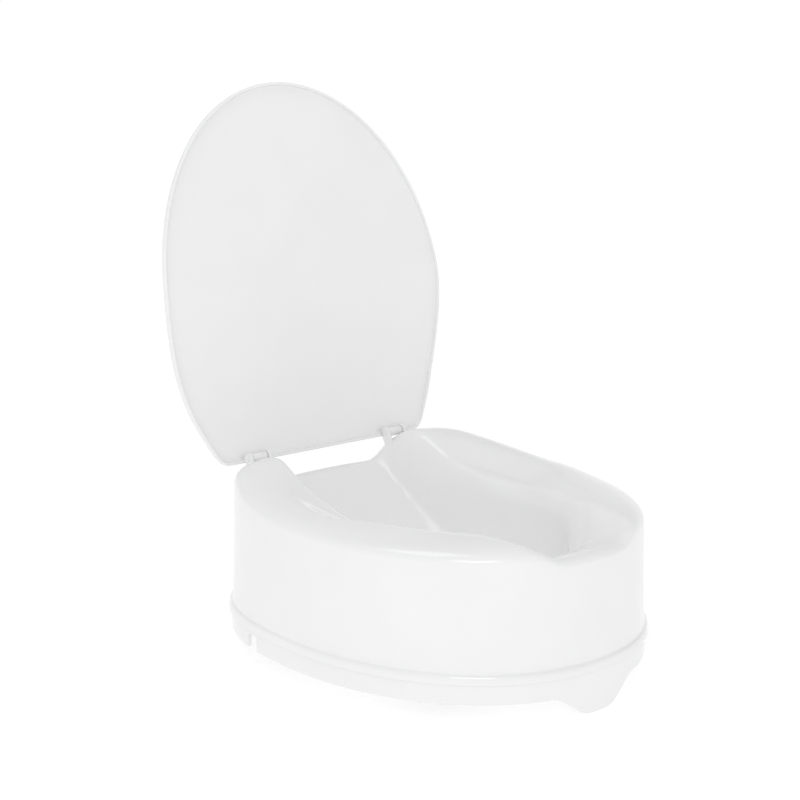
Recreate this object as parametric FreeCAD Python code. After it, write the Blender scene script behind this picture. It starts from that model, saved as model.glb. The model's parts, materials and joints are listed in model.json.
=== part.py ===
import FreeCAD, Part
import math
import os

# Raised toilet seat with a hinged lid and two clamps, drawn with its lid open.
# +Z is up and the front of the seat points along -Y.
# The origin is on the plane that the front lug and the clamp legs stand on,
# under the middle of the whole object's footprint.

V = FreeCAD.Vector

# ---- driving dimensions (mm) -------------------------------------------------

# heights above the standing plane
LUG_BOTTOM = 0.0
SKIRT_BOTTOM = 21.5
CREASE = 41.0            # underside of the flange, where shell and base ring meet
SEAT_TOP = 164.5         # crest of the seat from the middle to the front

# plan outline of the flange: widest section, then front and rear reaches
WIDEST_Y = -6.0
HALF_WIDTH = 190.0
FRONT_REACH = 237.8
REAR_REACH = 190.0
FRONT_POWER = 2.1
REAR_POWER = 2.5

# plan outline of the bowl opening, measured just under the seat's inner rim
OPEN_Y = -28.0
OPEN_Z = 120.5
OPEN_HALF_WIDTH = 95.0
OPEN_FRONT = 141.0
OPEN_REAR = 112.0
OPEN_POWER = 2.2
OPEN_DRAFT = math.tan(math.radians(6.5))
GUARD_BOTTOM = 26.5      # lower end of the bowl's wall, below the flange

# seat shell: wall and flange
WALL = 3.0
FLANGE_HEIGHT = 9.0
WALL_INSET = 3.6
WALL_DRAFT = math.tan(math.radians(1.8))
WALL_HEIGHTS = (65.0, 85.0, 105.0, 122.0)
BOWL_STATIONS = 5

# seat shell: section across the sitting surface, in shares of its width
ROUND_DROP = 17.0        # height of the outer rounding below the crest
ROUND_POWER = 2.6        # over 2 gives a tighter corner that flattens to the crest
FRONT_CREST = 0.62
REAR_CREST = 0.36
FRONT_DISH = 4.5         # fall from the crest to the inner rim
REAR_DISH = 13.0
SECTION_FRONT_Y = -91.0  # the front section holds as far back as this
SECTION_REAR_Y = -26.0   # and the rear section takes over from here
INNER_EDGE = 0.80
INNER_ROUND = 24.0       # height of the inner rounding
REAR_RISE = 0.00098      # the crest climbs with the square of Y behind REAR_RISE_Y
REAR_RISE_Y = -28.0
REAR_FALL = 0.0089       # and falls again over the rear shoulders
REAR_FALL_Y = 104.0

# hygiene recesses: half-widths at the floor and at full height, each given at
# the outer lip and at the bowl, and where along Y the recess fades out
FRONT_FLOOR = 147.5
FRONT_RECESS = ((45.0, 38.0), (60.0, 88.0))
FRONT_SCOOP = (30.0, 1.8)    # fall of the floor from lip to bowl, and its power
FRONT_FADE = (-60.0, -110.0)
REAR_FLOOR = 147.0
REAR_RECESS = ((68.0, 79.0), (84.0, 97.0))
REAR_SCOOP = (66.0, 1.2)
REAR_FADE = (-20.0, 15.0)
LIP = 0.16               # share of the width taken by the rounded lip
LIP_ROUND = 7.0
LIP_POWER = 2.2

# base ring
SKIRT_INSET = 3.0
SKIRT_WALL = 3.4
PLATE_TOP = 38.0
PLATE = 3.0
PLATE_BOTTOM = PLATE_TOP - PLATE
GUARD_GAP = 0.5
LUG_FLAT = 11.0          # half-width of the lug's level tip
LUG_ROOT = 54.0          # half-width where its sides run out into the skirt
NOTCH_Y = 44.0
NOTCH_WIDTH = 16.0

# hinges, one on each rear shoulder
HINGE_X = 93.0
HINGE_Y = 157.0
HINGE_Z = 176.7
KNUCKLE_WIDTH = 18.0
KNUCKLE_R = 5.0
EAR_WALL = 4.0
EAR_GAP = 0.8
EAR_R = 6.0
EAR_FOOT = ((-5.0, -24.0), (-16.0, -22.0))   # rear and front corner below the axis
PIN_R = 2.5
PIN_CLEARANCE = 0.08
PIN_HEAD_R = 3.8
PIN_HEAD = 1.6
PIN_COVER = 1.0          # wall left over the pin's inner end

# lid, drawn closed and then swung open
LID_Y = -7.4
LID_HALF_WIDTH = 183.0
LID_FRONT = 228.3
LID_REAR = 245.4
LID_POWER = 2.0
LID_BACK_EDGE = HINGE_Y + 3.9
LID_CORNER = 18.0
LID_GAP = 1.8            # above the crest of the seat
LID_RISE = 18.5          # climb over the rear shoulders
LID_RISE_Y = -31.0
LID_RISE_LENGTH = 140.0
LID_CURL = 6.9           # lift of the front end
LID_CURL_Y = -56.0
LID_SHEET = 2.5
LID_RIM = 4.0
LID_RIM_WALL = 3.2
LID_OPEN = 103.3

# screws that hold the base ring to the shell
SCREW_ANGLES = (24, 68, 112, 152)
SCREW_INSET = 12.6
SCREW_R = 1.9
SCREW_HEAD_R = 4.0
SCREW_HEAD = 2.2
SCREW_HEAD_ROUND = 1.2
SCREW_LENGTH = 18.0
CROSS_LENGTH = 4.8
CROSS_WIDTH = 0.9
CROSS_DEPTH = 1.3
BOSS_R = 5.5
BOSS_TOP = 62.5
BOSS_RIB = 4.0
BOSS_RIB_BOTTOM = 51.0

# pads that rest on the rim of the toilet bowl: X, Y and turn of the left-hand ones
PAD_LENGTH = 64.0
PAD_WIDTH = 16.0
PAD = 5.0
PAD_PLACES = {"front": (98.0, -128.0, 49.0), "rear": (92.0, 100.0, -44.0)}

# clamps
ARM_WIDTH = 18.0
ARM = 4.0
ARM_GAP = 0.3
ARM_INNER_X = 80.5
ARM_OUTER_X = 167.0
ARM_CORNER = 4.0
LEG_X = 116.0
LEG = 5.0
GUSSET = 7.0
GUSSET_WIDTH = 4.0
GUIDE_RIB = 2.5
GUIDE_X = (124.0, 168.0)
GUIDE_GAP = 0.5
SLOT_TRAVEL = 12.0
SLOT_GAP = 0.3
GRIP = 3.5
GRIP_BOTTOM = 2.0
GRIP_HEIGHT = 21.0
GROOVES = 4
GROOVE = 1.6
GROOVE_DEPTH = 1.0
GROOVE_PITCH = 4.5
STUD_X = 100.0
STUD_R = 3.0
STUD_BOTTOM = 11.0
STUD_HEAD = 10.0
STUD_HEAD_HEIGHT = 4.0
STUD_GAP = 0.35
WASHER_R = 9.0
WASHER = 1.5
NUT_R = 12.5
NUT = 13.0
NUT_LOBES = 6
SCALLOP_R = 4.6
SCALLOP_OUT = 2.2
INSERT_HALF_FLATS = 5.0
INSERT = 4.8
FIT = 0.1                # between an insert and its pocket, and between stacked parts


# ---- outlines ----------------------------------------------------------------

def egg(angle, centre_y, half_width, front, rear, front_power, rear_power):
    """Point of a closed outline; angle 0 is the front and 90 degrees is +X."""
    c = math.cos(angle)
    s = math.sin(angle)
    reach = front if c > 0 else rear
    power = front_power if c > 0 else rear_power
    r = (abs(c / reach) ** power + abs(s / half_width) ** power) ** (-1.0 / power)
    return r * s, centre_y - r * c


def body_point(angle, inset):
    return egg(angle, WIDEST_Y, HALF_WIDTH - inset, FRONT_REACH - inset,
               REAR_REACH - inset, FRONT_POWER, REAR_POWER)


def opening_point(angle, grow):
    return egg(angle, OPEN_Y, OPEN_HALF_WIDTH + grow, OPEN_FRONT + grow,
               OPEN_REAR + grow, OPEN_POWER, OPEN_POWER)


def lid_point(angle, inset):
    return egg(angle, LID_Y, LID_HALF_WIDTH - inset, LID_FRONT - inset,
               LID_REAR - inset, LID_POWER, LID_POWER)


def prism(point_of, offset, z_low, z_high, steps=72):
    """Upright solid on the closed smooth outline point_of(angle, offset)."""
    points = [V(*point_of(2 * math.pi * k / steps, offset), z_low) for k in range(steps)]
    curve = Part.BSplineCurve()
    curve.interpolate(Points=points, PeriodicFlag=True)
    face = Part.Face(Part.Wire([curve.toShape()]))
    return face.extrude(V(0, 0, z_high - z_low))


def band(point_of, outer, inner, z_low, z_high):
    """Upright tube between two offsets of one outline."""
    return prism(point_of, outer, z_low, z_high).cut(
        prism(point_of, inner, z_low - 1, z_high + 1))


def skin_faces(stations, steps=96, sectors=12, strips=4):
    """Smooth patches that together run once round the body and follow stations(angle)."""
    net = [[V(*p) for p in stations(2 * math.pi * k / steps)] for k in range(steps)]
    across = len(net[0])
    surface = Part.BSplineSurface()
    surface.buildFromPolesMultsKnots(
        net, [1] * (steps + 1), [4] + [1] * (across - 4) + [4],
        list(range(steps + 1)), list(range(across - 2)), True, False, 3, 3)
    cuts_u = [steps * k // sectors for k in range(sectors + 1)]
    cuts_v = [(across - 3) * k // strips for k in range(strips + 1)]
    faces = []
    for u0, u1 in zip(cuts_u, cuts_u[1:]):
        for v0, v1 in zip(cuts_v, cuts_v[1:]):
            patch = surface.copy()
            patch.segment(u0, u1, v0, v1)
            faces.append(patch.toShape())
    return faces


def closed_ring_solid(stations, z_base):
    """Solid between a skin and the flat ring that joins its two level edges."""
    faces = skin_faces(stations)
    level = [e for face in faces for e in face.Edges
             if abs(e.BoundBox.ZMax - z_base) < 1e-4 and e.BoundBox.ZLength < 1e-4]
    rims = [Part.Wire(edges) for edges in Part.sortEdges(level)]
    rims.sort(key=lambda w: -w.BoundBox.XLength)
    shell = Part.Shell(faces + [Part.Face(rims)])
    shell.sewShape()
    return Part.Solid(shell)


def box(x0, x1, y0, y1, z0, z1):
    return Part.makeBox(x1 - x0, y1 - y0, z1 - z0, V(x0, y0, z0))


def cylinder(radius, height, base, axis=V(0, 0, 1)):
    return Part.makeCylinder(radius, height, base, axis)


def extruded(points, direction):
    return Part.Face(Part.makePolygon(points + points[:1])).extrude(direction)


def mirrored(shape):
    return shape.mirror(V(0, 0, 0), V(1, 0, 0))


def both_sides(shape):
    return [shape, mirrored(shape)]


# ---- seat shell --------------------------------------------------------------

def smooth(t):
    t = min(max(t, 0.0), 1.0)
    return t * t * (3 - 2 * t)


def rounded(t, power):
    """Quarter of a superellipse: 0 at t = 0, with a slope that steepens up to t = 1."""
    return 1 - max(0.0, 1 - t ** power) ** (1 / power)


def crest_height(y):
    z = SEAT_TOP
    if y > REAR_RISE_Y:
        z += REAR_RISE * (y - REAR_RISE_Y) ** 2
    if y > REAR_FALL_Y:
        z -= REAR_FALL * (y - REAR_FALL_Y) ** 2
    return z


def sitting_height(y, share):
    """Sitting surface at a share of the way from the outer wall to the bowl."""
    rear = smooth((y - SECTION_FRONT_Y) / (SECTION_REAR_Y - SECTION_FRONT_Y))
    crest = FRONT_CREST + (REAR_CREST - FRONT_CREST) * rear
    dish = FRONT_DISH + (REAR_DISH - FRONT_DISH) * rear
    z = crest_height(y)
    if share <= crest:
        return z - ROUND_DROP * rounded(1 - share / crest, ROUND_POWER)
    if share <= INNER_EDGE:
        t = (share - crest) / (INNER_EDGE - crest)
        return z - dish * ((1 - rear) * t * t + rear * smooth(t))
    return z - dish - INNER_ROUND * rounded((share - INNER_EDGE) / (1 - INNER_EDGE), 2.0)


def recess_height(floor, scoop, share):
    """Floor of a recess: a small rounded lip, then a slope down into the bowl."""
    if share < LIP:
        return floor - LIP_ROUND * rounded(1 - share / LIP, LIP_POWER)
    fall, power = scoop
    return floor - fall * ((share - LIP) / (1 - LIP)) ** power


def top_height(x, y, share, thin):
    """Sitting surface, eased into the recess floor near the middle."""
    front = y < OPEN_Y
    feet, tops = FRONT_RECESS if front else REAR_RECESS
    start, end = FRONT_FADE if front else REAR_FADE
    foot = feet[0] + (feet[1] - feet[0]) * share
    full_at = tops[0] + (tops[1] - tops[0]) * share
    ease = smooth((full_at + thin - abs(x)) / (full_at - foot))
    ease *= smooth((y - start) / (end - start))
    full = sitting_height(y, share)
    if front:
        floor = recess_height(FRONT_FLOOR, FRONT_SCOOP, share)
    else:
        floor = recess_height(REAR_FLOOR, REAR_SCOOP, share)
    return full + (floor - full) * ease


def wall_inset(z):
    return WALL_INSET + WALL_DRAFT * (z - CREASE)


def flange_profile():
    """Insets and heights up the flange, which flares outward going down."""
    yield 0.0, CREASE - 4.0
    yield 0.0, CREASE + 1.0
    for turn in (30, 60, 90):
        a = math.radians(turn)
        yield WALL_INSET * (1 - math.cos(a)), CREASE + 1.0 + (FLANGE_HEIGHT - 1.0) * math.sin(a)
    yield WALL_INSET, CREASE + FLANGE_HEIGHT + 2.0


def seat_body(thin, z_base, across=24):
    """Solid under the seat's surface, drawn in by the distance thin on every side."""
    rim_inset = wall_inset(SEAT_TOP - ROUND_DROP) + thin
    profile = [(0.0, z_base)] + list(flange_profile())
    profile += [(wall_inset(z), z) for z in WALL_HEIGHTS]
    shares = [(1 - math.cos(math.pi * k / across)) / 2 for k in range(across + 1)]

    def stations(a):
        line = [(*body_point(a, inset + thin), z) for inset, z in profile]
        xo, yo = body_point(a, rim_inset)
        xi, yi = opening_point(a, thin)
        for share in shares:
            x = xo + (xi - xo) * share
            y = yo + (yi - yo) * share
            line.append((x, y, top_height(x, y, share, thin) - thin))
        z_brim = line[-1][2]
        down = [z_brim + (CREASE - z_brim) * (k + 1) / BOWL_STATIONS for k in range(BOWL_STATIONS)]
        for z in down + [z_base]:
            line.append((*opening_point(a, thin - OPEN_DRAFT * (OPEN_Z - z)), z))
        return line

    return closed_ring_solid(stations, z_base)


def screw_places():
    for angle in SCREW_ANGLES:
        yield math.radians(angle)
        yield -math.radians(angle)


def screw_boss(angle):
    """Boss that stands on the base ring's plate, with a rib to the outer wall."""
    x, y = body_point(angle, SCREW_INSET)
    root_x, root_y = body_point(angle, WALL_INSET + 1.0)
    length = math.hypot(root_x - x, root_y - y)
    half = BOSS_RIB / 2
    side = V(-(root_y - y) / length * half, (root_x - x) / length * half, 0)
    near = V(x, y, BOSS_RIB_BOTTOM)
    root = V(root_x, root_y, BOSS_RIB_BOTTOM)
    rib = extruded([near + side, root + side, root - side, near - side],
                   V(0, 0, BOSS_TOP - BOSS_RIB_BOTTOM - 1))
    return cylinder(BOSS_R, BOSS_TOP - PLATE_TOP, V(x, y, PLATE_TOP)).fuse(rib)


def screw_pilot(angle):
    x, y = body_point(angle, SCREW_INSET)
    return cylinder(SCREW_R + 0.05, SCREW_LENGTH, V(x, y, PLATE_TOP - 1))


def ear_positions():
    half = KNUCKLE_WIDTH / 2 + EAR_GAP
    return HINGE_X - half - EAR_WALL, HINGE_X + half


def hinge_ear(x_low):
    """One ear: a round eye on a foot that runs down into the shoulder."""
    eye = cylinder(EAR_R, EAR_WALL, V(x_low, HINGE_Y, HINGE_Z), V(1, 0, 0))
    corners = [V(x_low, HINGE_Y - EAR_R, HINGE_Z), V(x_low, HINGE_Y + EAR_R, HINGE_Z)]
    corners += [V(x_low, HINGE_Y + dy, HINGE_Z + dz) for dy, dz in EAR_FOOT]
    return eye.fuse(extruded(corners, V(EAR_WALL, 0, 0)))


def build_seat_shell():
    shell = seat_body(0.0, GUARD_BOTTOM)
    cavity = seat_body(WALL, GUARD_BOTTOM - 1.0)
    for x in ear_positions():
        for ear in both_sides(hinge_ear(x)):
            shell = shell.fuse(ear)
    for angle in screw_places():
        cavity = cavity.cut(screw_boss(angle))
    shell = shell.cut(cavity)
    shell = shell.cut(band(body_point, -5.0, 2 * WALL + 0.6, GUARD_BOTTOM - 5.0, CREASE))
    for angle in screw_places():
        shell = shell.cut(screw_pilot(angle))
    inner_x, outer_x = ear_positions()
    x = inner_x + PIN_COVER
    bore = cylinder(PIN_R, outer_x + EAR_WALL - x, V(x, HINGE_Y, HINGE_Z), V(1, 0, 0))
    for hole in both_sides(bore):
        shell = shell.cut(hole)
    return shell


# ---- base ring ---------------------------------------------------------------

def below_skirt():
    """Everything under the skirt's lower edge, except the tongue of the front lug."""
    far = 2 * HALF_WIDTH
    floor = LUG_BOTTOM - 5.0
    height = SKIRT_BOTTOM - LUG_BOTTOM
    steps = 24
    points = []
    for k in range(steps + 1):
        x = -LUG_ROOT + 2 * LUG_ROOT * k / steps
        rise = smooth((abs(x) - LUG_FLAT) / (LUG_ROOT - LUG_FLAT))
        points.append(V(x, -far, LUG_BOTTOM + height * rise))
    curve = Part.BSplineCurve()
    curve.interpolate(points)
    corners = [points[-1], V(far, -far, SKIRT_BOTTOM), V(far, -far, floor),
               V(-far, -far, floor), V(-far, -far, SKIRT_BOTTOM), points[0]]
    edges = [curve.toShape()]
    edges += [Part.makeLine(a, b) for a, b in zip(corners, corners[1:])]
    front = Part.Face(Part.Wire(edges)).extrude(V(0, far, 0))
    return [front, box(-far, far, 0, far, floor, SKIRT_BOTTOM)]


def build_base_ring():
    skirt = band(body_point, SKIRT_INSET, SKIRT_INSET + SKIRT_WALL, LUG_BOTTOM - 1.0, CREASE)
    for cutter in below_skirt():
        skirt = skirt.cut(cutter)
    hole = WALL - OPEN_DRAFT * (OPEN_Z - PLATE_TOP) + GUARD_GAP
    plate = prism(body_point, SKIRT_INSET + SKIRT_WALL - 0.5, PLATE_BOTTOM, PLATE_TOP)
    plate = plate.cut(prism(opening_point, hole, PLATE_BOTTOM - 1, PLATE_TOP + 1))
    ring_body = skirt.fuse(plate)
    for side in (-1, 1):
        y = NOTCH_Y + side * (ARM_WIDTH / 2 + GUIDE_GAP + GUIDE_RIB / 2)
        rib = box(*GUIDE_X, y - GUIDE_RIB / 2, y + GUIDE_RIB / 2, PLATE_BOTTOM - ARM, PLATE_BOTTOM + 0.5)
        ring_body = ring_body.fuse(both_sides(rib))
    notch = box(HALF_WIDTH - 22.0, HALF_WIDTH + 2.0, NOTCH_Y - NOTCH_WIDTH / 2,
                NOTCH_Y + NOTCH_WIDTH / 2, SKIRT_BOTTOM - 1, PLATE_BOTTOM)
    ring_body = ring_body.cut(both_sides(notch))
    for angle in screw_places():
        x, y = body_point(angle, SCREW_INSET)
        ring_body = ring_body.cut(cylinder(SCREW_R + 0.2, PLATE + 2, V(x, y, PLATE_BOTTOM - 1)))
    stud_hole = cylinder(STUD_R + 0.05, PLATE + 2, V(STUD_X, NOTCH_Y, PLATE_BOTTOM - 1))
    return ring_body.cut(both_sides(stud_hole))


# ---- lid ---------------------------------------------------------------------

def lid_height(y):
    """Underside of the closed lid along its length."""
    z = SEAT_TOP + LID_GAP + LID_RISE * smooth((y - LID_RISE_Y) / LID_RISE_LENGTH)
    if y < LID_CURL_Y:
        z += LID_CURL * ((LID_CURL_Y - y) / (LID_CURL_Y - LID_Y + LID_FRONT)) ** 2
    return z


def lid_slab(low, high, steps=24):
    """Everything between two heights above the lid's underside."""
    x = -HALF_WIDTH - 5
    y_front = LID_Y - LID_FRONT - 4
    ys = [y_front + k * (LID_BACK_EDGE + 1 - y_front) / steps for k in range(steps + 1)]

    def profile(offset):
        curve = Part.BSplineCurve()
        curve.interpolate([V(x, y, lid_height(y) + offset) for y in ys])
        return curve.toShape()

    under = profile(low)
    over = profile(high)
    ends = [Part.makeLine(under.Vertexes[k].Point, over.Vertexes[k].Point) for k in (0, 1)]
    wire = Part.Wire(Part.__sortEdges__([under, ends[1], over, ends[0]]))
    return Part.Face(wire).extrude(V(-2 * x, 0, 0))


def lid_plan(inset):
    """Upright block on the lid's outline, cut off straight behind the hinges."""
    z_low = SEAT_TOP - 40
    z_high = SEAT_TOP + 60
    ahead = box(-HALF_WIDTH, HALF_WIDTH, LID_Y - LID_FRONT - 5, LID_BACK_EDGE - inset,
                z_low, z_high)
    plan = prism(lid_point, inset, z_low, z_high).common(ahead)
    corners = [e for e in plan.Edges if e.BoundBox.ZLength > 90
               and abs(e.BoundBox.YMin - LID_BACK_EDGE + inset) < 0.1]
    return plan.makeFillet(LID_CORNER - inset, corners)


def closed_lid():
    outer = lid_plan(0.0)
    lid = outer.common(lid_slab(-LID_RIM, LID_SHEET))
    hollow = lid_plan(LID_RIM_WALL).common(lid_slab(-LID_RIM - 5, 0.0))
    lid = lid.cut(hollow)
    z_root = lid_height(LID_BACK_EDGE) + LID_SHEET / 2
    x_in = HINGE_X - KNUCKLE_WIDTH / 2
    x_out = HINGE_X + KNUCKLE_WIDTH / 2
    eye = cylinder(KNUCKLE_R, KNUCKLE_WIDTH, V(x_in, HINGE_Y, HINGE_Z), V(1, 0, 0))
    web = box(x_in, x_out, HINGE_Y - KNUCKLE_R, LID_BACK_EDGE - 1, HINGE_Z, z_root)
    lid = lid.fuse(both_sides(eye.fuse(web)))
    bore = cylinder(PIN_R + PIN_CLEARANCE, KNUCKLE_WIDTH + 2, V(x_in - 1, HINGE_Y, HINGE_Z), V(1, 0, 0))
    lid = lid.cut(both_sides(bore))
    for x in ear_positions():
        room = cylinder(EAR_R + EAR_GAP, EAR_WALL + 2 * EAR_GAP,
                        V(x - EAR_GAP, HINGE_Y, HINGE_Z), V(1, 0, 0))
        lid = lid.cut(both_sides(room))
    return lid


def build_lid():
    lid = closed_lid()
    lid.rotate(V(0, HINGE_Y, HINGE_Z), V(1, 0, 0), -LID_OPEN)
    return lid


# ---- pins, screws and pads ---------------------------------------------------

def hinge_pin():
    inner_x, outer_x = ear_positions()
    x = inner_x + PIN_COVER
    pin = cylinder(PIN_R, outer_x + EAR_WALL - x, V(x, HINGE_Y, HINGE_Z), V(1, 0, 0))
    head = cylinder(PIN_HEAD_R, PIN_HEAD, V(outer_x + EAR_WALL, HINGE_Y, HINGE_Z), V(1, 0, 0))
    return pin.fuse(head)


def base_screw(angle):
    x, y = body_point(angle, SCREW_INSET)
    z = PLATE_BOTTOM - SCREW_HEAD
    shank = cylinder(SCREW_R, SCREW_LENGTH, V(x, y, PLATE_BOTTOM))
    head = cylinder(SCREW_HEAD_R, SCREW_HEAD, V(x, y, z))
    rim = [e for e in head.Edges if e.isClosed() and e.BoundBox.ZMax < PLATE_BOTTOM - 0.5]
    head = head.makeFillet(SCREW_HEAD_ROUND, rim)
    for half_x, half_y in ((CROSS_LENGTH / 2, CROSS_WIDTH / 2), (CROSS_WIDTH / 2, CROSS_LENGTH / 2)):
        head = head.cut(box(x - half_x, x + half_x, y - half_y, y + half_y, z - 1, z + CROSS_DEPTH))
    return shank.fuse(head)


def rim_pad(x, y, angle):
    """Pad with round ends, laid along the rim; angle is its turn from the X axis."""
    straight = PAD_LENGTH - PAD_WIDTH
    body = box(-straight / 2, straight / 2, -PAD_WIDTH / 2, PAD_WIDTH / 2, 0, PAD)
    ends = [cylinder(PAD_WIDTH / 2, PAD, V(side * straight / 2, 0, 0)) for side in (-1, 1)]
    pad = body.fuse(ends).removeSplitter()
    pad.rotate(V(0, 0, 0), V(0, 0, 1), angle)
    pad.translate(V(x, y, PLATE_BOTTOM - PAD))
    return pad


# ---- clamps, drawn on the +X side --------------------------------------------

def clamp_arm():
    z_top = PLATE_BOTTOM - ARM_GAP
    z_low = z_top - ARM
    y0 = NOTCH_Y - ARM_WIDTH / 2
    y1 = NOTCH_Y + ARM_WIDTH / 2
    strip = box(ARM_INNER_X, ARM_OUTER_X, y0, y1, z_low, z_top)
    leg = box(LEG_X, LEG_X + LEG, y0, y1, LUG_BOTTOM, z_low + 0.5)
    y = NOTCH_Y - GUSSET_WIDTH / 2
    gusset = extruded([V(LEG_X + LEG, y, z_low), V(LEG_X + LEG + GUSSET, y, z_low),
                       V(LEG_X + LEG, y, z_low - GUSSET)], V(0, GUSSET_WIDTH, 0))
    arm = strip.fuse([leg, gusset])
    ends = [e for e in arm.Edges if e.BoundBox.ZLength > ARM - 0.01
            and abs(e.BoundBox.XMin - ARM_OUTER_X) < 0.01]
    arm = arm.makeFillet(ARM_CORNER, ends)
    r = STUD_R + SLOT_GAP
    slot_in = STUD_X - SLOT_TRAVEL
    slot = box(slot_in, STUD_X, NOTCH_Y - r, NOTCH_Y + r, z_low - 1, z_top + 1)
    slot = slot.fuse([cylinder(r, ARM + 2, V(x, NOTCH_Y, z_low - 1)) for x in (slot_in, STUD_X)])
    return arm.cut(slot).removeSplitter()


def clamp_grip():
    """Rubber face on the outer side of the leg, ribbed across."""
    y0 = NOTCH_Y - ARM_WIDTH / 2
    y1 = NOTCH_Y + ARM_WIDTH / 2
    x = LEG_X + LEG
    grip = box(x, x + GRIP, y0, y1, GRIP_BOTTOM, GRIP_BOTTOM + GRIP_HEIGHT)
    for k in range(GROOVES):
        z = GRIP_BOTTOM + (k + 0.5) * GROOVE_PITCH
        grip = grip.cut(box(x + GRIP - GROOVE_DEPTH, x + GRIP + 1, y0 - 1, y1 + 1, z, z + GROOVE))
    return grip


def clamp_stud():
    half = STUD_HEAD / 2
    stud = cylinder(STUD_R, PLATE_TOP - STUD_BOTTOM, V(STUD_X, NOTCH_Y, STUD_BOTTOM))
    head = box(STUD_X - half, STUD_X + half, NOTCH_Y - half, NOTCH_Y + half,
               PLATE_TOP, PLATE_TOP + STUD_HEAD_HEIGHT)
    return stud.fuse(head)


def washer_top():
    return PLATE_BOTTOM - ARM_GAP - ARM - FIT


def clamp_washer():
    z = washer_top() - WASHER
    washer = cylinder(WASHER_R, WASHER, V(STUD_X, NOTCH_Y, z))
    return washer.cut(cylinder(STUD_R + STUD_GAP, WASHER + 2, V(STUD_X, NOTCH_Y, z - 1)))


def nut_top():
    return washer_top() - WASHER - FIT / 2


def hexagon(half_flats, z, height):
    radius = half_flats / math.cos(math.radians(30))
    points = [V(STUD_X + radius * math.cos(math.radians(60 * k)),
                NOTCH_Y + radius * math.sin(math.radians(60 * k)), z) for k in range(6)]
    return extruded(points, V(0, 0, height))


def hand_nut():
    """Lobed hand nut with a hexagonal pocket for its threaded insert."""
    z = nut_top() - NUT
    body = cylinder(NUT_R, NUT, V(STUD_X, NOTCH_Y, z))
    for k in range(NUT_LOBES):
        a = 2 * math.pi * (k + 0.5) / NUT_LOBES
        x = STUD_X + (NUT_R + SCALLOP_OUT) * math.cos(a)
        y = NOTCH_Y + (NUT_R + SCALLOP_OUT) * math.sin(a)
        body = body.cut(cylinder(SCALLOP_R, NUT + 2, V(x, y, z - 1)))
    body = body.cut(cylinder(STUD_R + STUD_GAP, NUT + 2, V(STUD_X, NOTCH_Y, z - 1)))
    return body.cut(hexagon(INSERT_HALF_FLATS + FIT, nut_top() - INSERT - 2 * FIT, INSERT + 1))


def nut_insert():
    z = nut_top() - INSERT - FIT
    insert = hexagon(INSERT_HALF_FLATS, z, INSERT)
    return insert.cut(cylinder(STUD_R + STUD_GAP, INSERT + 2, V(STUD_X, NOTCH_Y, z - 1)))


# ---- the whole assembly ------------------------------------------------------

def build_nodes():
    nodes = {
        "seat_shell": build_seat_shell(),
        "base_ring": build_base_ring(),
        "lid": build_lid(),
        "base_screws": Part.makeCompound([base_screw(angle) for angle in screw_places()]),
    }
    paired = {
        "hinge_pin": hinge_pin(),
        "clamp_arm": clamp_arm(),
        "clamp_grip": clamp_grip(),
        "clamp_stud": clamp_stud(),
        "clamp_washer": clamp_washer(),
        "hand_nut": hand_nut(),
        "nut_insert": nut_insert(),
    }
    for place, (x, y, angle) in PAD_PLACES.items():
        paired["rim_pad_" + place] = rim_pad(x, y, angle)
    for name, shape in paired.items():
        nodes[name + "_left"] = shape
        nodes[name + "_right"] = mirrored(shape)
    return nodes


if __name__ == "__main__":
    os.makedirs("parts", exist_ok=True)
    for name, shape in build_nodes().items():
        b = shape.BoundBox
        print("%-22s valid %s solids %d volume %.2f cm3  x %.1f %.1f  y %.1f %.1f  z %.1f %.1f"
              % (name, shape.isValid(), len(shape.Solids), shape.Volume / 1000,
                 b.XMin, b.XMax, b.YMin, b.YMax, b.ZMin, b.ZMax))
        shape.exportStep("parts/" + name + ".step")
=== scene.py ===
import json
import math
import bpy
import bmesh
from mathutils import Matrix, Vector

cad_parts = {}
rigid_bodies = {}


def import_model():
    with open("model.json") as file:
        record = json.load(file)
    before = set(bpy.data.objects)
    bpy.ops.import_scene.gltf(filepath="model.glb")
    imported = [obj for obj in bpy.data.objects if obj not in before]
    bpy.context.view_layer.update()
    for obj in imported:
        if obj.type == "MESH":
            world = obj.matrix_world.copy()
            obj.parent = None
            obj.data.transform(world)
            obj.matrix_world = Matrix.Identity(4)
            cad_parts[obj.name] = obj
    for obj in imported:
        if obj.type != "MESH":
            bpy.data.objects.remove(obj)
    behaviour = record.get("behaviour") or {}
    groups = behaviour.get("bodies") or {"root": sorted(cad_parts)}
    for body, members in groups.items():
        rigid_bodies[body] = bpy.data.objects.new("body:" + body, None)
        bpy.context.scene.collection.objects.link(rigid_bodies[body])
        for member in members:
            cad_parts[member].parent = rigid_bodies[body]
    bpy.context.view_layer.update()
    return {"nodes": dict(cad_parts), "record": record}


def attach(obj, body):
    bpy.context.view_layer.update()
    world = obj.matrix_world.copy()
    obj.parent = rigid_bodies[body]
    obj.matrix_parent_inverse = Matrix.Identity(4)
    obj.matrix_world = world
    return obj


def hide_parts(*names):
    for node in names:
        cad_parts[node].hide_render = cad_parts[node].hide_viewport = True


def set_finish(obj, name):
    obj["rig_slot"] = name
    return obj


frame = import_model()
MM = 0.001

# ---- sizes in millimetres, the same as the CAD model's -----------------------

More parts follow.
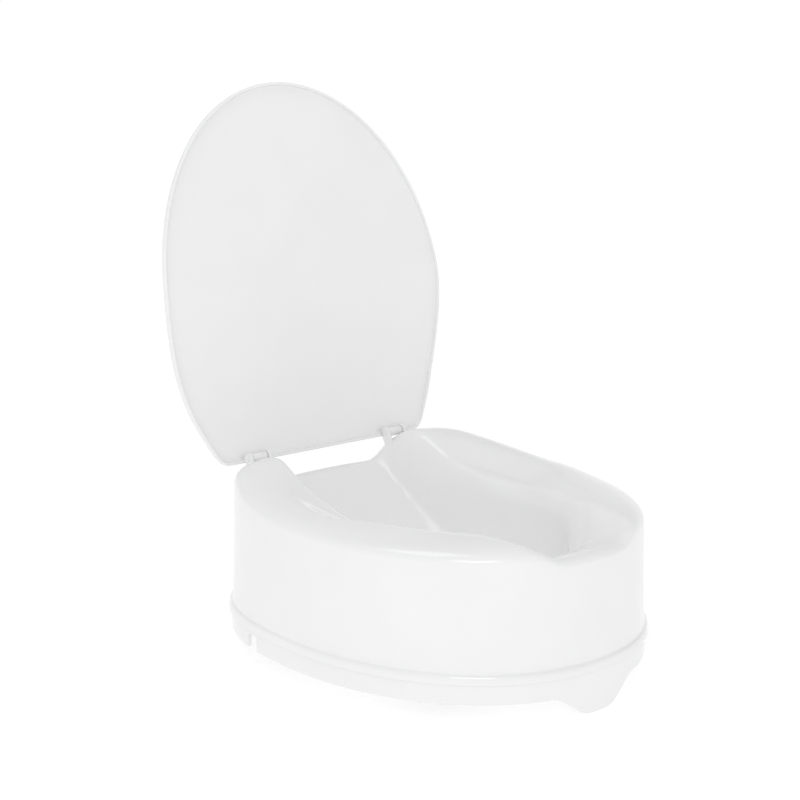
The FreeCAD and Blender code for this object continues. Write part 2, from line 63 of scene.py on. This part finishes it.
CREASE, SEAT_TOP, GUARD_BOTTOM = 41.0, 164.5, 26.5
BODY = dict(y=-6.0, half=190.0, front=237.8, rear=190.0, powers=(2.1, 2.5))
BOWL = dict(y=-28.0, half=95.0, front=141.0, rear=112.0, powers=(2.2, 2.2))
LID = dict(y=-7.4, half=183.0, front=228.3, rear=245.4, powers=(2.0, 2.0))
BOWL_Z, BOWL_DRAFT = 120.5, math.tan(math.radians(6.5))
WALL, FLANGE_HEIGHT, WALL_INSET = 3.0, 9.0, 3.6
WALL_DRAFT = math.tan(math.radians(1.8))
ROUND_DROP, ROUND_POWER = 17.0, 2.6
FRONT_CREST, REAR_CREST = 0.62, 0.36
FRONT_DISH, REAR_DISH = 4.5, 13.0
SECTION_FRONT_Y, SECTION_REAR_Y = -91.0, -26.0
INNER_EDGE, INNER_ROUND = 0.80, 24.0
REAR_RISE, REAR_RISE_Y = 0.00098, -28.0
REAR_FALL, REAR_FALL_Y = 0.0089, 104.0
# half-widths of each recess at its floor and at full height, at the lip and at the bowl
FRONT_RECESS = dict(foot=(45.0, 38.0), full=(60.0, 88.0), floor=147.5,
                    scoop=30.0, power=1.8, fade=(-60.0, -110.0))
REAR_RECESS = dict(foot=(68.0, 79.0), full=(84.0, 97.0), floor=147.0,
                   scoop=66.0, power=1.2, fade=(-20.0, 15.0))
LIP, LIP_ROUND, LIP_POWER = 0.16, 7.0, 2.2

HINGE_X, HINGE_Y, HINGE_Z = 93.0, 157.0, 176.7
KNUCKLE_WIDTH, KNUCKLE_R = 18.0, 5.0
EAR_WALL, EAR_GAP, EAR_R = 4.0, 0.8, 6.0
PIN_BORE = 2.58
EAR_PLACES = (HINGE_X - KNUCKLE_WIDTH / 2 - EAR_GAP - EAR_WALL,
              HINGE_X + KNUCKLE_WIDTH / 2 + EAR_GAP)
EAR_FOOT = ((-16.0, -22.0), (-5.0, -24.0))   # (y, z) from the hinge's axis
EAR_ARC = (-28, 160)                         # degrees of its round top
LID_BACK = HINGE_Y + 3.9
LID_CORNER, LID_GAP = 18.0, 1.8
LID_RISE, LID_RISE_Y, LID_RISE_LENGTH = 18.5, -31.0, 140.0
LID_CURL, LID_CURL_Y = 6.9, -56.0
LID_SHEET, LID_RIM, LID_RIM_WALL, LID_OPEN = 2.5, 4.0, 3.2, 103.3
LID_CENTRE = (0.0, -20.0)
LID_FLAT_INSET = 9.0
LID_SHARES = (0.02, 0.25, 0.5, 0.75, 0.9)    # rings of the panel, from its centre outwards
# the rolled rim as (inset, height): up from the underside, round and over to the top
LID_RIM_PROFILE = ((9.0, 0.0), (5.4, 0.0), (4.1, -0.25), (3.35, -1.0), (LID_RIM_WALL, -2.2),
                   (3.1, -3.3), (2.6, -3.9), (1.6, -LID_RIM), (0.6, -3.9), (0.1, -3.3),
                   (0.0, -2.0), (0.0, 0.4), (0.2, 1.5), (0.9, 2.25), (2.2, LID_SHEET),
                   (5.0, LID_SHEET), (9.0, LID_SHEET))
WALL_RINGS = (65.0, 85.0, 105.0, 122.0)      # heights of rings on the outer wall
SEAT_RINGS = 24                              # rings from the outer edge to the bowl
BOWL_RINGS = 5                               # rings down the bowl's wall


# ---- outlines and heights ----------------------------------------------------

def egg(angle, plan, offset):
    """Outline point, offset outwards; angle 0 is the front and 90 degrees is +X."""
    c, s = math.cos(angle), math.sin(angle)
    reach = (plan["front"] if c > 0 else plan["rear"]) + offset
    power = plan["powers"][0 if c > 0 else 1]
    r = (abs(c / reach) ** power + abs(s / (plan["half"] + offset)) ** power) ** (-1 / power)
    return r * s, plan["y"] - r * c


def smooth(t):
    t = min(max(t, 0.0), 1.0)
    return t * t * (3 - 2 * t)


def rounded(t, power):
    return 1 - max(0.0, 1 - t ** power) ** (1 / power)


def sitting_height(y, share):
    rear = smooth((y - SECTION_FRONT_Y) / (SECTION_REAR_Y - SECTION_FRONT_Y))
    crest = FRONT_CREST + (REAR_CREST - FRONT_CREST) * rear
    dish = FRONT_DISH + (REAR_DISH - FRONT_DISH) * rear
    z = SEAT_TOP + REAR_RISE * max(0.0, y - REAR_RISE_Y) ** 2
    z -= REAR_FALL * max(0.0, y - REAR_FALL_Y) ** 2
    if share <= crest:
        return z - ROUND_DROP * rounded(1 - share / crest, ROUND_POWER)
    if share <= INNER_EDGE:
        t = (share - crest) / (INNER_EDGE - crest)
        return z - dish * ((1 - rear) * t * t + rear * smooth(t))
    return z - dish - INNER_ROUND * rounded((share - INNER_EDGE) / (1 - INNER_EDGE), 2.0)


def top_height(x, y, share, thin):
    recess = FRONT_RECESS if y < BOWL["y"] else REAR_RECESS
    start, end = recess["fade"]
    foot, full_at = (a + (b - a) * share for a, b in (recess["foot"], recess["full"]))
    ease = smooth((full_at + thin - abs(x)) / (full_at - foot))
    ease *= smooth((y - start) / (end - start))
    full = sitting_height(y, share)
    if share < LIP:
        low = recess["floor"] - LIP_ROUND * rounded(1 - share / LIP, LIP_POWER)
    else:
        low = recess["floor"] - recess["scoop"] * ((share - LIP) / (1 - LIP)) ** recess["power"]
    return full + (low - full) * ease


def wall_inset(z):
    return WALL_INSET + WALL_DRAFT * (z - CREASE)


# ---- mesh helpers ------------------------------------------------------------

def piece(name, verts, faces, body, slot, levels=0, creases=()):
    """Mesh object from points in millimetres; creases are pairs of point numbers."""
    mesh = bpy.data.meshes.new(name)
    mesh.from_pydata([Vector(v) * MM for v in verts], [], faces)
    mesh.validate()
    bm = bmesh.new()
    bm.from_mesh(mesh)
    bmesh.ops.recalc_face_normals(bm, faces=bm.faces)
    if creases:
        layer = bm.edges.layers.float.new("crease_edge")
        bm.verts.ensure_lookup_table()
        for a, b in creases:
            edge = bm.edges.get((bm.verts[a], bm.verts[b]))
            if edge:
                edge[layer] = 1.0
    bm.to_mesh(mesh)
    bm.free()
    mesh.shade_smooth()
    obj = bpy.data.objects.new(name, mesh)
    bpy.context.scene.collection.objects.link(obj)
    if levels:
        mod = obj.modifiers.new("smooth", "SUBSURF")
        mod.levels = mod.render_levels = levels
    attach(obj, body)
    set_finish(obj, slot)
    return obj


def rings(loops, close_across):
    """Faces between successive closed loops of equal length."""
    n = len(loops[0])
    verts = [p for loop in loops for p in loop]
    count = len(loops)
    faces = []
    for j in range(count if close_across else count - 1):
        a, b = j * n, ((j + 1) % count) * n
        faces += [(a + i, a + (i + 1) % n, b + (i + 1) % n, b + i) for i in range(n)]
    return verts, faces


def carve(obj, holes):
    """Cut round holes about the hinge's axis; each hole is (x0, x1, radius)."""
    cutters = []
    for x0, x1, radius in holes:
        bm = bmesh.new()
        place = Matrix.Translation(Vector(((x0 + x1) / 2, HINGE_Y, HINGE_Z)) * MM)
        turn = Matrix.Rotation(math.radians(90), 4, "Y")
        bmesh.ops.create_cone(bm, cap_ends=True, segments=48, radius1=radius * MM,
                              radius2=radius * MM, depth=abs(x1 - x0) * MM, matrix=place @ turn)
        mesh = bpy.data.meshes.new("hole")
        bm.to_mesh(mesh)
        bm.free()
        cutter = bpy.data.objects.new("hole", mesh)
        bpy.context.scene.collection.objects.link(cutter)
        cutters.append(cutter)
        mod = obj.modifiers.new("hole", "BOOLEAN")
        mod.operation = "DIFFERENCE"
        mod.solver = "EXACT"
        mod.object = cutter
    bpy.context.view_layer.update()
    graph = bpy.context.evaluated_depsgraph_get()
    shape = bpy.data.meshes.new_from_object(obj.evaluated_get(graph))
    obj.modifiers.clear()
    obj.data = shape
    shape.set_sharp_from_angle(angle=math.radians(40))
    for cutter in cutters:
        bpy.data.objects.remove(cutter)


# ---- seat shell --------------------------------------------------------------

STEPS = 96
ANGLES = [2 * math.pi * k / STEPS for k in range(STEPS)]


def seat_loops(thin, z_base):
    """Loops from the flange's foot over the seat and down the bowl's wall."""
    profile = [(0.0, CREASE), (0.0, CREASE + 0.8)]
    for turn in (30, 60, 90):
        a = math.radians(turn)
        height = 1 + (FLANGE_HEIGHT - 1) * math.sin(a)
        profile.append((WALL_INSET * (1 - math.cos(a)), CREASE + height))
    profile.append((WALL_INSET, CREASE + FLANGE_HEIGHT + 2.0))
    profile += [(wall_inset(z), z) for z in WALL_RINGS]
    loops = [[(*egg(a, BODY, -inset - thin), z) for a in ANGLES] for inset, z in profile]
    rim_inset = wall_inset(SEAT_TOP - ROUND_DROP) + thin
    for k in range(SEAT_RINGS + 1):
        share = (1 - math.cos(math.pi * k / SEAT_RINGS)) / 2
        loop = []
        for a in ANGLES:
            xo, yo = egg(a, BODY, -rim_inset)
            xi, yi = egg(a, BOWL, thin)
            x, y = xo + (xi - xo) * share, yo + (yi - yo) * share
            loop.append((x, y, top_height(x, y, share, thin) - thin))
        loops.append(loop)
    brim = loops[-1]
    for k in range(1, BOWL_RINGS + 2):
        loop = []
        for a, (_, _, z_brim) in zip(ANGLES, brim):
            z = z_brim + (CREASE - z_brim) * k / BOWL_RINGS if k <= BOWL_RINGS else z_base
            loop.append((*egg(a, BOWL, thin - BOWL_DRAFT * (BOWL_Z - z)), z))
        loops.append(loop)
    return loops


def seat_shell():
    outer = seat_loops(0.0, GUARD_BOTTOM)
    inner = seat_loops(WALL, GUARD_BOTTOM)
    loops = outer + inner[::-1]
    verts, faces = rings(loops, True)
    sharp = []
    for j in (0, len(outer) - 1, len(outer), len(loops) - 1):
        sharp += [(j * STEPS + i, j * STEPS + (i + 1) % STEPS) for i in range(STEPS)]
    shell = piece("seat_shell_skin", verts, faces, "seat", "white_gloss_plastic", 2, sharp)
    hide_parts("seat_shell")


# ---- lid ---------------------------------------------------------------------

def lid_height(y):
    z = SEAT_TOP + LID_GAP + LID_RISE * smooth((y - LID_RISE_Y) / LID_RISE_LENGTH)
    if y < LID_CURL_Y:
        z += LID_CURL * ((LID_CURL_Y - y) / (LID_CURL_Y - LID["y"] + LID["front"])) ** 2
    return z


def opened(x, y, z):
    """A point of the closed lid, swung open about the hinge."""
    a = math.radians(-LID_OPEN)
    dy, dz = y - HINGE_Y, z - HINGE_Z
    return (x, HINGE_Y + dy * math.cos(a) - dz * math.sin(a),
            HINGE_Z + dy * math.sin(a) + dz * math.cos(a))


def lid_outline(count=192):
    """Evenly spaced outline of the lid, with its two rear corners rounded."""
    r = LID_CORNER
    curve = [egg(math.pi * k / 600, LID, 0.0) for k in range(601)]
    side = [p for p in curve if p[1] < LID_BACK - r]
    k = len(side) - 1
    x, y = side[-1]
    slope = (side[-1][0] - side[-2][0]) / (side[-1][1] - side[-2][1])
    centre = Vector((x - r / math.hypot(1, slope), y + slope * r / math.hypot(1, slope)))
    start = math.atan2(y - centre.y, x - centre.x)
    lift = LID_BACK - r - centre.y
    arc = []
    for i in range(1, 13):
        a = start + (math.pi / 2 - start) * i / 12
        arc.append((centre.x + r * math.cos(a), centre.y + r * math.sin(a) + lift * i / 12))
    half = side + arc + [(0.0, LID_BACK)]
    full = half + [(-px, py) for px, py in half[-2:0:-1]]
    lengths = [0.0]
    for p, q in zip(full, full[1:] + full[:1]):
        lengths.append(lengths[-1] + math.dist(p, q))
    points, i = [], 0
    for k in range(count):
        want = lengths[-1] * k / count
        while lengths[i + 1] < want:
            i += 1
        t = (want - lengths[i]) / (lengths[i + 1] - lengths[i])
        p, q = full[i], full[(i + 1) % len(full)]
        points.append((p[0] + (q[0] - p[0]) * t, p[1] + (q[1] - p[1]) * t))
    return points


def lid():
    outline = lid_outline()
    n = len(outline)
    normals = []
    for i in range(n):
        (ax, ay), (bx, by) = outline[i - 1], outline[(i + 1) % n]
        length = math.hypot(bx - ax, by - ay)
        normals.append((-(by - ay) / length, (bx - ax) / length))
    cx, cy = LID_CENTRE
    loops = []

    def loop_at(inset, height, share=1.0):
        loop = []
        for (x, y), (nx, ny) in zip(outline, normals):
            px, py = x + nx * inset, y + ny * inset
            px, py = cx + (px - cx) * share, cy + (py - cy) * share
            loop.append(opened(px, py, lid_height(py) + height))
        loops.append(loop)

    for share in LID_SHARES:
        loop_at(LID_FLAT_INSET, 0.0, share)
    for inset, height in LID_RIM_PROFILE:
        loop_at(inset, height)
    for share in LID_SHARES[::-1]:
        loop_at(LID_FLAT_INSET, LID_SHEET, share)
    verts, faces = rings(loops, False)
    for j, height in ((0, 0.0), (len(loops) - 1, LID_SHEET)):
        verts.append(opened(cx, cy, lid_height(cy) + height))
        faces += [(j * n + i, j * n + (i + 1) % n, len(verts) - 1) for i in range(n)]
    panel = piece("lid_panel", verts, faces, "lid", "white_gloss_plastic", 1)
    rooms = []
    for x in EAR_PLACES:
        x0, x1 = x - EAR_GAP, x + EAR_WALL + EAR_GAP
        rooms += [(x0, x1, EAR_R + EAR_GAP), (-x1, -x0, EAR_R + EAR_GAP)]
    carve(panel, rooms)
    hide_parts("lid")


# ---- hinge ears and knuckles -------------------------------------------------

def bevelled(obj, width, segments=3):
    mod = obj.modifiers.new("edges", "BEVEL")
    mod.width = width * MM
    mod.segments = segments
    mod.limit_method = "ANGLE"
    mod.angle_limit = math.radians(40)
    mod.harden_normals = True
    return obj


def side_plate(name, profile, x0, x1, body, slot, bevel):
    """Solid with the same (y, z) profile from x0 to x1."""
    n = len(profile)
    verts = [(x0, y, z) for y, z in profile] + [(x1, y, z) for y, z in profile]
    faces = [tuple(range(n)), tuple(range(n, 2 * n))]
    faces += [(i, (i + 1) % n, n + (i + 1) % n, n + i) for i in range(n)]
    obj = piece(name, verts, faces, body, slot)
    return bevelled(obj, bevel)


def arc(radius, start, end, steps=24):
    points = []
    for k in range(steps + 1):
        a = math.radians(start + (end - start) * k / steps)
        points.append((HINGE_Y + radius * math.cos(a), HINGE_Z + radius * math.sin(a)))
    return points


def hinges():
    half = KNUCKLE_WIDTH / 2
    ear_profile = arc(EAR_R, *EAR_ARC) + [(HINGE_Y + y, HINGE_Z + z) for y, z in EAR_FOOT]
    for side, sign in (("left", 1), ("right", -1)):
        for place, x in zip(("inner", "outer"), EAR_PLACES):
            side_plate("hinge_ear_%s_%s" % (place, side), ear_profile, sign * x,
                       sign * (x + EAR_WALL), "seat", "white_gloss_plastic", 0.7)
        closed = arc(KNUCKLE_R, 180, 360)
        closed += [(LID_BACK - 0.4, HINGE_Z + 0.2), (LID_BACK - 0.4, lid_height(LID_BACK) + 1.2),
                   (HINGE_Y - KNUCKLE_R, lid_height(LID_BACK) + 1.2)]
        swung = [opened(0, y, z)[1:] for y, z in closed]
        x0, x1 = sign * (HINGE_X - half), sign * (HINGE_X + half)
        eye = side_plate("hinge_knuckle_" + side, swung, x0, x1,
                         "lid", "white_gloss_plastic", 0.6)
        carve(eye, [(min(x0, x1) - 1, max(x0, x1) + 1, PIN_BORE)])


# ---- materials ---------------------------------------------------------------

ROUGH_SPREAD = 0.03


def material(name, low, high, rough, metal=0.0, coat=0.0, scale=60.0, bump=0.0):
    """Surface with a faint mottle in colour and roughness, in object space."""
    mat = bpy.data.materials.new(name)
    mat.use_nodes = True
    tree = mat.node_tree
    shader = tree.nodes["Principled BSDF"]
    shader.inputs["Metallic"].default_value = metal
    shader.inputs["Coat Weight"].default_value = coat
    shader.inputs["Coat Roughness"].default_value = 0.08
    coords = tree.nodes.new("ShaderNodeTexCoord")
    noise = tree.nodes.new("ShaderNodeTexNoise")
    noise.inputs["Scale"].default_value = scale
    noise.inputs["Detail"].default_value = 4.0
    tree.links.new(coords.outputs["Object"], noise.inputs["Vector"])
    ramp = tree.nodes.new("ShaderNodeValToRGB")
    ramp.color_ramp.elements[0].color = (*low, 1.0)
    ramp.color_ramp.elements[1].color = (*high, 1.0)
    ramp.color_ramp.elements[0].position = 0.3
    ramp.color_ramp.elements[1].position = 0.7
    tree.links.new(noise.outputs["Fac"], ramp.inputs["Fac"])
    tree.links.new(ramp.outputs["Color"], shader.inputs["Base Color"])
    span = tree.nodes.new("ShaderNodeMapRange")
    span.inputs["To Min"].default_value = rough - ROUGH_SPREAD
    span.inputs["To Max"].default_value = rough + ROUGH_SPREAD
    tree.links.new(noise.outputs["Fac"], span.inputs["Value"])
    tree.links.new(span.outputs["Result"], shader.inputs["Roughness"])
    if bump:
        fine = tree.nodes.new("ShaderNodeTexNoise")
        fine.inputs["Scale"].default_value = 900.0
        tree.links.new(coords.outputs["Object"], fine.inputs["Vector"])
        node = tree.nodes.new("ShaderNodeBump")
        node.inputs["Strength"].default_value = bump
        node.inputs["Distance"].default_value = 0.0004
        tree.links.new(fine.outputs["Fac"], node.inputs["Height"])
        tree.links.new(node.outputs["Normal"], shader.inputs["Normal"])
    return mat


SLOTS = {
    "white_gloss_plastic": material("white_gloss_plastic", (0.845, 0.845, 0.85),
                                    (0.865, 0.865, 0.87), 0.20, coat=0.3, scale=14.0),
    "white_matte_plastic": material("white_matte_plastic", (0.74, 0.74, 0.73),
                                    (0.80, 0.80, 0.79), 0.45, bump=0.15),
    "grey_rubber": material("grey_rubber", (0.070, 0.072, 0.075),
                            (0.11, 0.112, 0.115), 0.75, bump=0.5),
    "stainless_steel": material("stainless_steel", (0.52, 0.52, 0.53),
                                (0.64, 0.64, 0.65), 0.28, metal=1.0, scale=200.0),
    "brass": material("brass", (0.62, 0.45, 0.18), (0.74, 0.56, 0.26), 0.32,
                      metal=1.0, scale=200.0),
}


def dress():
    """Every shown piece and every CAD node takes the material of its slot."""
    slot_of = {part["node"]: part["material_slot"] for part in frame["record"]["subparts"]}
    for name, obj in frame["nodes"].items():
        obj.data.materials.clear()
        obj.data.materials.append(SLOTS[slot_of[name]])
    for obj in bpy.context.scene.objects:
        if obj.type == "MESH" and "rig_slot" in obj:
            obj.data.materials.clear()
            obj.data.materials.append(SLOTS[obj["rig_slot"]])


# ---- floor, light and camera -------------------------------------------------

FLOOR_SIZE, FLOOR_Z, FLOOR_GLOW = 60, -0.0004, 0.64      # metres, metres, emission
HORIZON_LIGHT, ZENITH_LIGHT = 1.02, 0.70
HORIZON_TOP, ZENITH_FOOT = 0.12, 0.30                    # sine of the elevation
CAMERA_AT, CAMERA_TO = (-1004.7, -1124.3, 573.3), (-38.7, -14.1, 277.8)
CAMERA_LENS, CAMERA_SENSOR, CAMERA_SHIFT = 69.5, 36.0, (-0.0069, -0.0247)
CAMERA_ROLL = 0.19


def area_light(name, place, target, size, power):
    data = bpy.data.lights.new(name, "AREA")
    data.shape = "RECTANGLE"
    data.size, data.size_y = size
    data.energy = power
    obj = bpy.data.objects.new(name, data)
    obj.location = place
    obj.rotation_euler = (Vector(target) - Vector(place)).to_track_quat("-Z", "Y").to_euler()
    bpy.context.scene.collection.objects.link(obj)


def studio():
    bpy.ops.mesh.primitive_plane_add(size=FLOOR_SIZE, location=(0, 0, FLOOR_Z))
    floor = bpy.context.object
    floor.name = "floor"
    paint = material("floor_white", (0.44, 0.44, 0.44), (0.46, 0.46, 0.46), 0.7, scale=4.0)
    shader = paint.node_tree.nodes["Principled BSDF"]
    shader.inputs["Emission Color"].default_value = (1, 1, 1, 1)
    shader.inputs["Emission Strength"].default_value = FLOOR_GLOW
    floor.data.materials.append(paint)
    sky()
    bpy.context.scene.view_settings.view_transform = "Standard"
    area_light("key", (-1.26, -1.47, 1.2), (0, 0, 0.15), (0.9, 0.6), 6.5)
    area_light("top", (-0.5, 0.1, 1.9), (0, -0.02, 0.15), (0.8, 0.8), 3.5)


def sky():
    """Light tent: bright round the horizon and dimmer above."""
    world = bpy.data.worlds.new("tent")
    world.use_nodes = True
    tree = world.node_tree
    back = tree.nodes["Background"]
    back.inputs["Color"].default_value = (1, 1, 1, 1)
    coords = tree.nodes.new("ShaderNodeTexCoord")
    split = tree.nodes.new("ShaderNodeSeparateXYZ")
    level = tree.nodes.new("ShaderNodeMapRange")
    level.inputs["From Min"].default_value = HORIZON_TOP
    level.inputs["From Max"].default_value = ZENITH_FOOT
    level.inputs["To Min"].default_value = HORIZON_LIGHT
    level.inputs["To Max"].default_value = ZENITH_LIGHT
    tree.links.new(coords.outputs["Generated"], split.inputs["Vector"])
    tree.links.new(split.outputs["Z"], level.inputs["Value"])
    tree.links.new(level.outputs["Result"], back.inputs["Strength"])
    bpy.context.scene.world = world


def camera():
    data = bpy.data.cameras.new("camera")
    data.lens = CAMERA_LENS
    data.sensor_width = CAMERA_SENSOR
    data.shift_x, data.shift_y = CAMERA_SHIFT
    obj = bpy.data.objects.new("camera", data)
    place = Vector(CAMERA_AT) * MM
    target = Vector(CAMERA_TO) * MM
    obj.location = place
    aim = (target - place).to_track_quat("-Z", "Y").to_matrix()
    roll = Matrix.Rotation(math.radians(CAMERA_ROLL), 3, "Z")
    obj.rotation_euler = (aim @ roll).to_euler()
    bpy.context.scene.collection.objects.link(obj)
    bpy.context.scene.camera = obj


seat_shell()
lid()
hinges()
dress()
studio()
camera()
